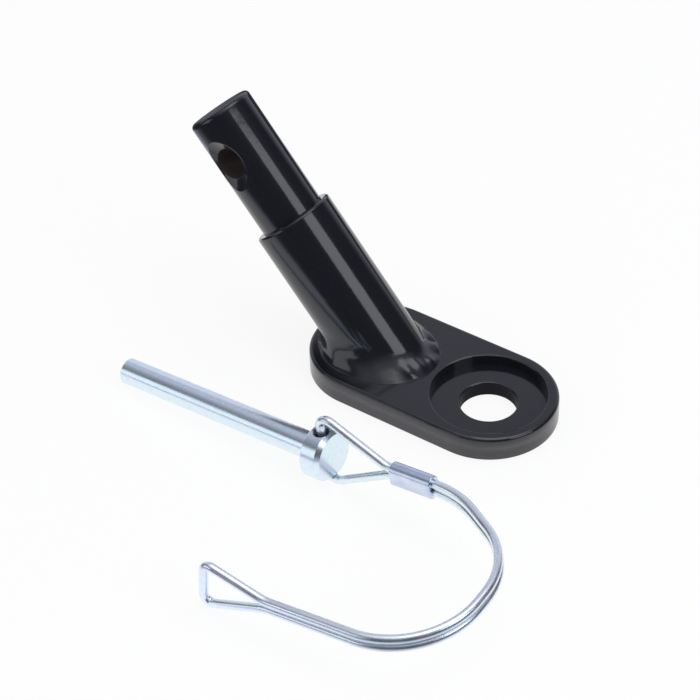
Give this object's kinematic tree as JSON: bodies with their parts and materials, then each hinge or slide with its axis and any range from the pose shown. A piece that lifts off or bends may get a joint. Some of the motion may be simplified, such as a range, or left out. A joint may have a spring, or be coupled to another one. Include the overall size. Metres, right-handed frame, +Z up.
{
  "type": "bike trailer hitch",
  "caption": "Axle plate with a welded leaning sleeve and cross-drilled peg that couples a bicycle trailer, with its hitch pin and hinged wire safety clip lying beside it.",
  "frame": {"origin": "centre of the axle hole on the underside of the plate", "axes": "+Z up along the axle hole, +X along the plate away from the leaning peg, +Y completes the right-handed frame; the pin and clip lie on the -Y side"},
  "size_m": [0.1228, 0.1048, 0.0625],
  "materials": {
    "black_paint": "gloss black powder coat over steel",
    "zinc_pin": "bright zinc plate on turned steel",
    "zinc_wire": "bright zinc plate on spring wire",
    "zinc_ferrule": "bright zinc plate on a crimped steel tube"
  },
  "bodies": {
    "coupler": {"axle_plate": "black_paint", "sleeve_tube": "black_paint", "coupling_peg": "black_paint", "weld_bead": "black_paint", "hitch_pin": "zinc_pin"},
    "clip": {"wire_clip": "zinc_wire", "clip_ferrule": "zinc_ferrule"}
  },
  "joints": [
    {"name": "clip_hinge", "type": "hinge", "parent": "coupler", "child": "clip", "pos_m": [-0.01808, -0.03991, 0.00837], "axis": [-0.0886, -0.0648, 0.994], "range_deg": [-87, 50]}
  ]
}
